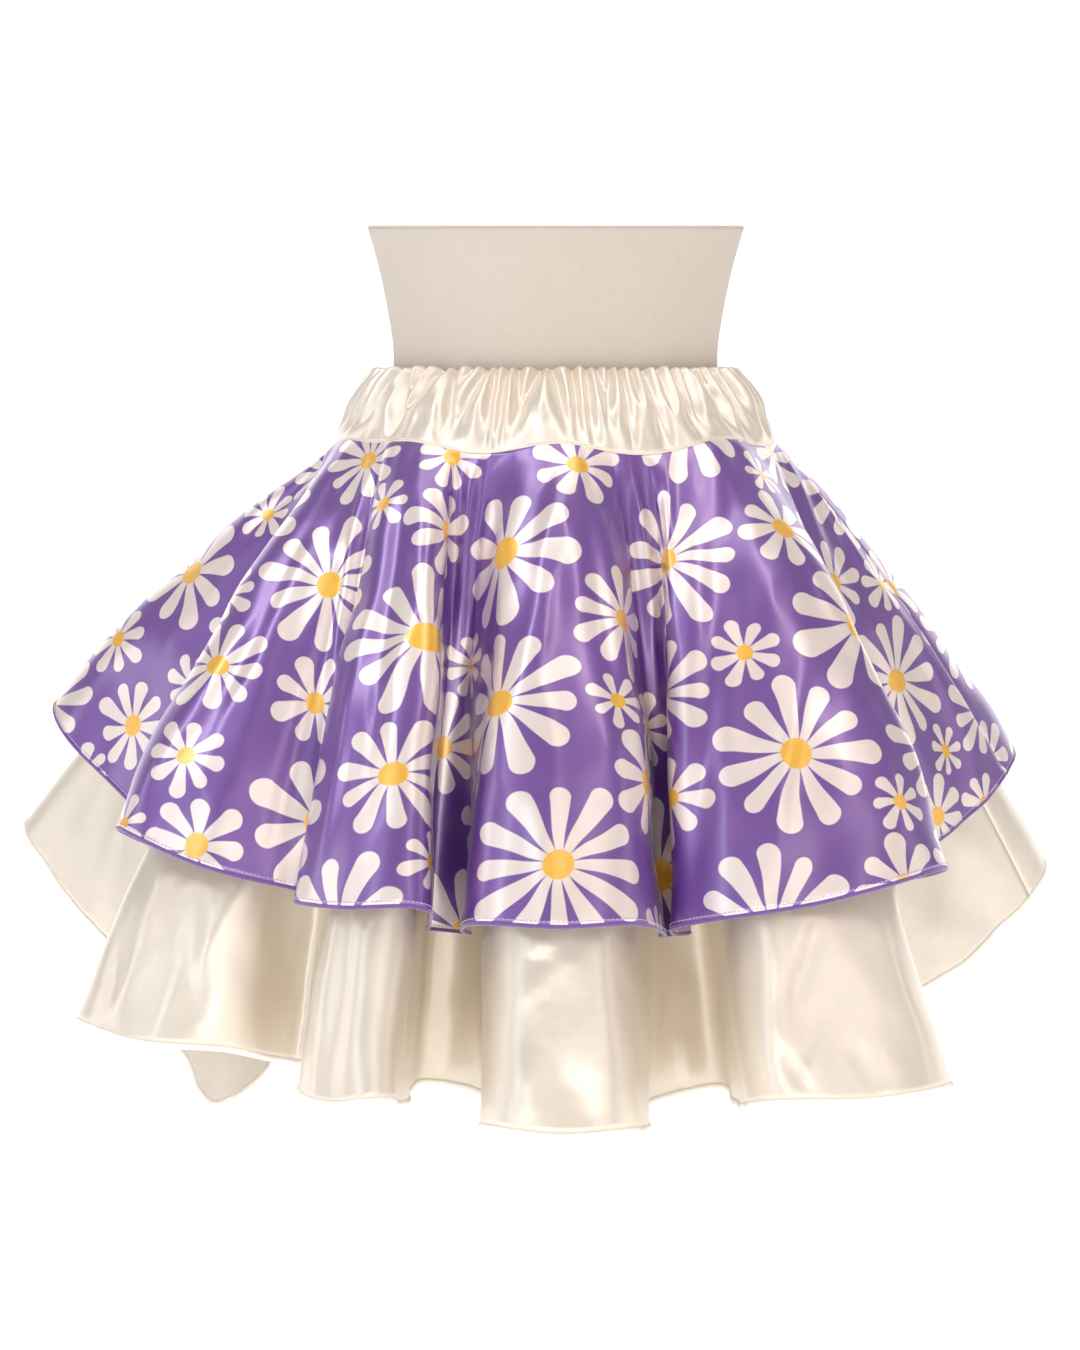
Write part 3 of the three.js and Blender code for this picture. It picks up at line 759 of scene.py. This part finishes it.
def form_stand():
    """The stand, turned from one profile of radius and height, from the flange down to the floor."""
    flange_top = FORM_SECTIONS[0][0] - STAND_GAP
    flange_low = flange_top - FLANGE_THICKNESS
    profile = [
        (0.5, flange_top), (FLANGE_RADIUS - 1.2, flange_top), (FLANGE_RADIUS, flange_top - 1.2),
        (FLANGE_RADIUS, flange_low + 1.2), (FLANGE_RADIUS - 1.2, flange_low), (POST_RADIUS + 4, flange_low),
        (POST_RADIUS + 1, flange_low - 1.5), (POST_RADIUS, flange_low - 5), (POST_RADIUS, BASE_THICKNESS + 5),
        (POST_RADIUS + 1, BASE_THICKNESS + 1.5), (POST_RADIUS + 4, BASE_THICKNESS),
        (BASE_RADIUS - 4, BASE_THICKNESS), (BASE_RADIUS - 1.2, BASE_THICKNESS - 0.8), (BASE_RADIUS, 9),
        (BASE_RADIUS, 1), (BASE_RADIUS - 1, 0), (0.5, 0),
    ]
    radius, height = np.array(profile).T[..., None]
    azimuth = np.arange(STAND_SIDES) * 360 / STAND_SIDES - 180
    grid = on_ellipse(azimuth[None, :], radius, radius, height)
    around = np.radians(azimuth + 180)[None, :] * STAND_FLAT_RADIUS
    faces = capped_faces(len(profile), STAND_SIDES)
    piece = make_mesh("stand", grid, faces, joined(around, -height), 2 * math.pi * STAND_FLAT_RADIUS)
    edges = piece.modifiers.new("edges", "EDGE_SPLIT")
    edges.split_angle = math.radians(40)
    return piece


# ---- Materials


class Graph:
    """Short calls for building a material's or a group's nodes."""

    def __init__(self, tree):
        self.tree = tree

    def node(self, kind, inputs=(), **settings):
        made = self.tree.nodes.new(kind)
        for name, value in settings.items():
            setattr(made, name, value)
        self.fill(made, dict(inputs))
        return made

    def fill(self, node, inputs):
        """Links each input to a socket, or sets it to a value."""
        for key, value in inputs.items():
            if isinstance(value, bpy.types.NodeSocket):
                self.tree.links.new(value, node.inputs[key])
            else:
                node.inputs[key].default_value = value

    def math(self, operation, *values, clamp=False):
        values = dict(enumerate(values))
        return self.node("ShaderNodeMath", values, operation=operation, use_clamp=clamp).outputs[0]

    def vector(self, operation, *values):
        values = dict(enumerate(values))
        return self.node("ShaderNodeVectorMath", values, operation=operation).outputs[0]

    def mix(self, factor, first, second):
        return self.node("ShaderNodeMix", {0: factor, 6: first, 7: second}, data_type="RGBA").outputs[2]

    def noise(self, place, scale, detail=2.0, roughness=0.5):
        inputs = {"Vector": place, "Scale": scale, "Detail": detail, "Roughness": roughness}
        return self.node("ShaderNodeTexNoise", inputs).outputs["Fac"]

    def ramp(self, value, low, high):
        inputs = {0: value, 1: low, 2: high}
        return self.node("ShaderNodeMapRange", inputs, interpolation_type="SMOOTHSTEP").outputs[0]

    def bump(self, height, distance, strength, under=None):
        inputs = {"Height": height, "Distance": distance, "Strength": strength}
        if under is not None:
            inputs["Normal"] = under
        return self.node("ShaderNodeBump", inputs).outputs["Normal"]


def srgb(red, green, blue):
    """A linear colour from 8-bit sRGB values."""
    def linear(value):
        value /= 255
        return value / 12.92 if value <= 0.04045 else ((value + 0.055) / 1.055) ** 2.4
    return (linear(red), linear(green), linear(blue), 1)


def new_material(name, viewport):
    material = bpy.data.materials.new(name)
    material.use_nodes = True
    material.diffuse_color = viewport
    graph = Graph(material.node_tree)
    return material, graph, material.node_tree.nodes["Principled BSDF"]


def cloth_place(graph):
    """The place on the flat cloth, in metres."""
    return graph.node("ShaderNodeUVMap", uv_map="cut").outputs[0]


def object_place(graph):
    return graph.node("ShaderNodeTexCoord").outputs["Object"]


def stretched(graph, place, across, down):
    return graph.vector("MULTIPLY", place, (across, down, 1))


# Print: a half-drop repeat of daisies, in millimetres on the flat cloth before it is scaled
PRINT_SCALE = 1.38
PRINT_WANDER = 6
REPEAT_WIDTH = 150
REPEAT_HEIGHT = 200
PETAL_EDGE = 0.45
PETAL_UNEVEN = 0.08
PETAL_TIP = 0.255
PETAL_TIP_LIMIT = 0.2
PETAL_ROOT = 0.12
PETAL_TAPER = 0.85
HEART_SHARE = 0.09
DAISIES = [  # across, up, size, petals, turn in degrees
    (37, 42, 39, 12, 8), (110, 128, 38, 11, 20), (36, 139, 37, 9, 5), (98, 62, 26, 9, 14),
    (145, 80, 23, 8, 30), (76, 190, 28, 10, 0), (150, 192, 25, 8, 12), (70, 92, 18, 8, 4),
    (120, 20, 20, 8, 18), (115, 178, 15, 7, 9),
]


def daisy_group():
    """One daisy, repeated over the cloth: how much of a point is petal, and how much is centre."""
    tree = bpy.data.node_groups.new("daisy", "ShaderNodeTree")
    graph = Graph(tree)
    for name in ("Across", "Up", "At across", "At up", "Size", "Petals", "Turn"):
        tree.interface.new_socket(name, in_out="INPUT", socket_type="NodeSocketFloat")
    for name in ("Petal", "Centre"):
        tree.interface.new_socket(name, in_out="OUTPUT", socket_type="NodeSocketFloat")
    given = graph.node("NodeGroupInput").outputs
    m = graph.math

    def distance(a, b):
        return m("SQRT", m("ADD", m("MULTIPLY", a, a), m("MULTIPLY", b, b)))

    def covered(inside):
        return m("ADD", m("DIVIDE", inside, PETAL_EDGE), 0.5, clamp=True)

    across = m("SUBTRACT", given["Across"], given["At across"])
    repeat = m("ROUND", m("DIVIDE", across, REPEAT_WIDTH))
    across = m("SUBTRACT", across, m("MULTIPLY", repeat, REPEAT_WIDTH))
    up = m("SUBTRACT", given["Up"], given["At up"])
    up = m("SUBTRACT", up, m("MULTIPLY", repeat, REPEAT_HEIGHT / 2))
    up = m("WRAP", up, REPEAT_HEIGHT / 2, -REPEAT_HEIGHT / 2)
    away = distance(across, up)
    angle = m("ADD", m("ARCTAN2", up, across), given["Turn"])
    sector = m("DIVIDE", 2 * math.pi, given["Petals"])
    index = m("ROUND", m("DIVIDE", angle, sector))
    lean = m("SUBTRACT", angle, m("MULTIPLY", index, sector))
    petal_number = m("FLOORED_MODULO", m("ADD", index, 0.5), given["Petals"])
    uneven = m("SINE", m("ADD", m("MULTIPLY", petal_number, 2.4), m("MULTIPLY", given["Turn"], 9)))
    size = m("MULTIPLY", given["Size"], m("ADD", 1 - PETAL_UNEVEN, m("MULTIPLY", uneven, PETAL_UNEVEN)))
    along = m("MULTIPLY", away, m("COSINE", lean))
    aside = m("ABSOLUTE", m("MULTIPLY", away, m("SINE", lean)))
    tip = m("MULTIPLY", size, m("MULTIPLY", sector, PETAL_TIP))
    tip = m("MINIMUM", tip, m("MULTIPLY", size, PETAL_TIP_LIMIT))
    tip_at = m("SUBTRACT", size, tip)
    beyond = m("SUBTRACT", along, tip_at)
    round_end = m("SUBTRACT", tip, distance(beyond, aside))
    taper = m("POWER", m("DIVIDE", along, tip_at), PETAL_TAPER)
    half = m("MULTIPLY", tip, m("ADD", PETAL_ROOT, m("MULTIPLY", 1 - PETAL_ROOT, taper)))
    straight = m("MINIMUM", m("SUBTRACT", half, aside), m("MULTIPLY", beyond, -1))
    heart = m("MULTIPLY", given["Size"], m("ADD", HEART_SHARE, m("DIVIDE", 1.0, given["Petals"])))
    graph.node("NodeGroupOutput", {
        "Petal": covered(m("MAXIMUM", round_end, straight)), "Centre": covered(m("SUBTRACT", heart, away)),
    })
    return tree


def satin(graph, shader, place, colour, dull, pearl):
    """The finish that all the satin shares: glossy along its folds in front, and dull behind.

    pearl is how much of the cloth's own colour its gloss takes on.
    """
    reverse = graph.node("ShaderNodeAttribute", attribute_type="GEOMETRY", attribute_name="reverse")
    reverse = reverse.outputs["Fac"]
    dents = graph.noise(place, 34, 2, 0.4)
    small_dents = graph.noise(place, 110, 2, 0.5)
    streaks = graph.noise(stretched(graph, place, 900, 70), 1, 2)
    weave = graph.noise(stretched(graph, place, 1500, 3200), 1, 1)
    normal = graph.bump(dents, 0.0016, 0.6)
    normal = graph.bump(small_dents, 0.0002, 0.6, normal)
    normal = graph.bump(streaks, 0.00005, 0.5, normal)
    normal = graph.bump(weave, 0.00012, 0.6, normal)
    graph.fill(shader, {
        "Base Color": graph.mix(reverse, colour, dull),
        "Roughness": graph.math("ADD", 0.35, graph.math("MULTIPLY", reverse, 0.25)),
        "Metallic": graph.math("MULTIPLY", pearl, graph.math("SUBTRACT", 1.0, reverse)),
        "IOR": 1.6,
        "Specular IOR Level": 0.8,
        "Anisotropic": 0.5,
        "Anisotropic Rotation": 0.25,
        "Sheen Weight": 0.08,
        "Sheen Roughness": 0.4,
        "Tangent": graph.node("ShaderNodeTangent", direction_type="UV_MAP", uv_map="cut").outputs[0],
        "Normal": normal,
    })


def ivory_satin():
    material, graph, shader = new_material("ivory_satin", srgb(240, 231, 216))
    place = cloth_place(graph)
    tone = graph.mix(graph.noise(place, 12, 3), srgb(238, 230, 216), srgb(233, 222, 204))
    slub = graph.ramp(graph.noise(stretched(graph, place, 160, 2600), 1, 2), 0.45, 0.8)
    colour = graph.mix(graph.math("MULTIPLY", slub, 0.25), tone, srgb(224, 211, 192))
    satin(graph, shader, place, colour, srgb(226, 216, 202), 0.46)
    return material


def printed_satin():
    material, graph, shader = new_material("printed_satin", srgb(104, 72, 172))
    place = cloth_place(graph)
    wander = graph.node("ShaderNodeTexNoise", {"Vector": place, "Scale": 22, "Detail": 1})
    wander = graph.vector("SUBTRACT", wander.outputs["Color"], (0.5, 0.5, 0.5))
    wander = graph.vector("MULTIPLY", wander, (PRINT_WANDER, PRINT_WANDER, 0))
    on_print = graph.vector("MULTIPLY", place, (1000 / PRINT_SCALE, 1000 / PRINT_SCALE, 0))
    on_print = graph.vector("ADD", on_print, wander)
    parts = graph.node("ShaderNodeSeparateXYZ", {0: on_print}).outputs
    group = daisy_group()
    petals, centres = 0.0, 0.0
    for across, up, size, count, turn in DAISIES:
        daisy = graph.node("ShaderNodeGroup", node_tree=group)
        graph.fill(daisy, {
            "Across": parts[0], "Up": parts[1], "At across": across, "At up": up,
            "Size": size, "Petals": count, "Turn": math.radians(turn),
        })
        petals = graph.math("MAXIMUM", petals, daisy.outputs["Petal"])
        centres = graph.math("MAXIMUM", centres, daisy.outputs["Centre"])
    ground = graph.mix(graph.noise(place, 14, 3), srgb(125, 78, 169), srgb(98, 52, 145))
    petal = graph.mix(graph.noise(place, 30, 2), srgb(244, 239, 229), srgb(238, 229, 216))
    heart = graph.mix(graph.noise(place, 260, 2), srgb(255, 206, 44), srgb(248, 182, 26))
    colour = graph.mix(petals, ground, petal)
    colour = graph.mix(centres, colour, heart)
    behind = graph.mix(0.45, colour, srgb(214, 200, 214))
    satin(graph, shader, place, colour, behind, 0.42)
    graph.fill(shader, {
        "Coat Weight": 1.0, "Coat IOR": 1.8, "Coat Roughness": 0.26, "Coat Tint": (1, 0.95, 0.98, 1),
    })
    return material


def thread(name, light, dark, painted_glow=0.0):
    material, graph, shader = new_material(name, light)
    place = object_place(graph)
    colour = graph.mix(graph.noise(place, 400, 2), light, dark)
    # The emission is painted light: it makes the thread glow in its own colour, as if lit more brightly.
    graph.fill(shader, {
        "Base Color": colour, "Roughness": 0.6, "Sheen Weight": 0.6,
        "Emission Color": colour, "Emission Strength": painted_glow,
        "Normal": graph.bump(graph.noise(place, 2600, 2), 0.00015, 0.7),
    })
    return material


def form_linen():
    material, graph, shader = new_material("form_linen", srgb(236, 229, 217))
    place = cloth_place(graph)
    warp = graph.noise(stretched(graph, place, 1500, 130), 1, 3)
    weft = graph.noise(stretched(graph, place, 130, 1500), 1, 3)
    weave = graph.math("ADD", warp, weft)
    tone = graph.mix(graph.noise(place, 9, 3), srgb(206, 197, 185), srgb(196, 186, 172))
    colour = graph.mix(graph.ramp(weave, 0.75, 1.25), graph.mix(0.5, tone, srgb(211, 201, 186)), tone)
    graph.fill(shader, {
        "Base Color": colour, "Roughness": 0.9, "Specular IOR Level": 0.2, "Sheen Weight": 0.15,
        "Normal": graph.bump(graph.noise(place, 1400, 2), 0.0002, 0.5, graph.bump(weave, 0.0004, 0.6)),
    })
    return material


def stand_paint():
    material, graph, shader = new_material("stand_paint", srgb(225, 220, 210))
    place = object_place(graph)
    wear = graph.ramp(graph.noise(place, 60, 4, 0.6), 0.58, 0.75)
    graph.fill(shader, {
        "Base Color": graph.mix(wear, srgb(226, 221, 211), srgb(206, 199, 187)),
        "Roughness": graph.math("ADD", 0.34, graph.math("MULTIPLY", wear, 0.2)),
        "Normal": graph.bump(graph.noise(place, 900, 2), 0.0001, 0.35),
    })
    return material


def floor_paper():
    material, graph, shader = new_material("floor_paper", srgb(250, 250, 250))
    graph.fill(shader, {
        "Base Color": (0.92, 0.92, 0.92, 1), "Roughness": 0.9, "Specular IOR Level": 0.1,
        "Emission Color": (1, 1, 1, 1), "Emission Strength": 0.72,
    })
    return material


# ---- Building the scene


def dress(piece, material, node=None):
    """Gives a piece its material, ties it to the root body, and hides the part's node that it takes the place
    of.
    """
    piece.data.materials.append(material)
    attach(piece, "root")
    if node:
        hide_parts(node)
    return piece


def build_tiers(ivory, printed, lilac, purple, white):
    for side in PANEL_STARTS:
        name = f"printed_tier_{side}"
        piece, grid, normals = tier_panel(name, UPPER, UPPER_CLOTH, UPPER_CREASES, side)
        dress(piece, printed, f"upper_tier_{side}")
        hem = dress(rolled_hem(name, UPPER_CLOTH, grid, normals), purple)
        row = dress(hem_stitches(name, grid, normals), lilac)
        declare_sheet(UPPER)
    for side in PANEL_STARTS:
        name = f"ivory_tier_{side}"
        piece, grid, normals = tier_panel(name, LOWER, LOWER_CLOTH, LOWER_CREASES, side)
        dress(piece, ivory, f"lower_tier_{side}")
        hem = dress(rolled_hem(name, LOWER_CLOTH, grid, normals), white)
        wrap = dress(overlock(name, grid[-1], normals[-1]), white)
        declare_sheet(LOWER)


def declare_sheet(tier):
    """A tier's half opens flat to a sector of a ring, more than half the ring and as wide as it; this only
    works out the tier's curves and fall, and uses them for nothing.
    """
    _, _, count = tier_curves(tier)
    top, fall, _ = tier_columns(tier, np.linspace(0, count, 8001))


def build_waistband(ivory, white):
    piece, outside, radial, strip, around = waistband()
    dress(piece, ivory, "waistband")
    line = outside[0] - radial * 0.2
    edge = tube("waistband_edge", line, radial, BAND_EDGE_RADIUS, 8, closed=True, flat=0.8)
    dress(edge, ivory)
    line, outs = (np.concatenate([ring, ring[:1]]) for ring in (outside[1], radial))
    row = stitches("waistband", line + outs * 0.4, outs, *SEAM_STITCHES, closed=True)
    dress(row, white)


def build_form(linen, paint):
    dress(dress_form(), linen, "dress_form")
    dress(form_stand(), paint, "form_stand")


def build_studio():
    """A pale floor that curves up behind, soft lights and the camera."""
    profile = [  # back, up
        (4500, 6000), (4500, 2200), (4450, 1300), (4250, 700), (3800, 260), (3200, 60), (2500, 0), (-6000, 0),
    ]
    grid = [[(x, y, z) for x in (-7000, 7000)] for y, z in profile]
    floor = make_mesh("studio_floor", grid, grid_faces(len(profile), 2))
    floor.data.materials.append(floor_paper())

    world = bpy.data.worlds.new("studio")
    bpy.context.scene.world = world
    world.use_nodes = True
    background = world.node_tree.nodes["Background"]
    background.inputs[0].default_value = (1, 0.96, 0.95, 1)
    background.inputs[1].default_value = 0.38

    lamps = [  # name, place, width, height, watts, colour
        ("front", (100, -2500, 620), 800, 700, 8, (1, 0.96, 0.93)),
        ("strip_left", (-950, -1500, 700), 140, 1300, 3, (0.78, 0.88, 1)),
        ("strip_right", (750, -1500, 700), 140, 1300, 2, (1, 0.86, 0.8)),
        ("key_left", (-1500, -1500, 1000), 400, 1300, 0.7, (0.8, 0.88, 1)),
        ("key_right", (1300, -1700, 900), 400, 1000, 0.3, (1, 0.88, 0.82)),
        ("high_left", (-1000, -800, 1800), 160, 1000, 5.4, (0.92, 0.88, 1)),
        ("high_right", (750, -1000, 1900), 160, 1000, 4.2, (1, 0.82, 0.84)),
        ("side_left", (-2000, -500, 700), 500, 1000, 2.6, (0.96, 0.97, 1)),
        ("side_right", (2000, -500, 700), 500, 1000, 1.3, (1, 0.93, 0.87)),
        ("top", (0, -300, 2300), 1500, 1200, 9, (1, 0.98, 0.94)),
        ("back", (200, 2000, 1700), 1800, 900, 8, (1, 0.98, 0.95)),
    ]
    for name, place, width, height, watts, colour in lamps:
        data = bpy.data.lights.new(name, "AREA")
        data.shape = "RECTANGLE"
        data.size, data.size_y = width * MM, height * MM
        data.energy = watts
        data.color = colour
        lamp = add_object(name, data)
        lamp.location = AXIS + MM * Vector(place)
        way = Vector(LAMPS_AIM) - Vector(place)
        lamp.rotation_euler = way.to_track_quat("-Z", "Y").to_euler()

    camera_data = bpy.data.cameras.new("camera")
    camera_data.lens = CAMERA_LENS
    camera_data.sensor_width = 36
    camera = add_object("camera", camera_data)
    camera.location = AXIS + MM * Vector(CAMERA_PLACE)
    camera.rotation_euler = (math.radians(90 - CAMERA_PITCH), 0, 0)
    bpy.context.scene.camera = camera
    bpy.context.scene.view_settings.view_transform = "Standard"


def build():
    ivory, printed = ivory_satin(), printed_satin()
    # The lilac and the white threads get a faint painted glow, as if lit more brightly; the purple hem has
    # none.
    lilac = thread("lilac_thread", srgb(220, 202, 236), srgb(186, 162, 216), 0.05)
    purple = thread("purple_hem", srgb(126, 92, 164), srgb(98, 66, 138))
    white = thread("white_thread", srgb(255, 252, 246), srgb(246, 238, 226), 0.16)
    build_form(form_linen(), stand_paint())
    build_waistband(ivory, white)
    build_tiers(ivory, printed, lilac, purple, white)
    build_studio()


build()
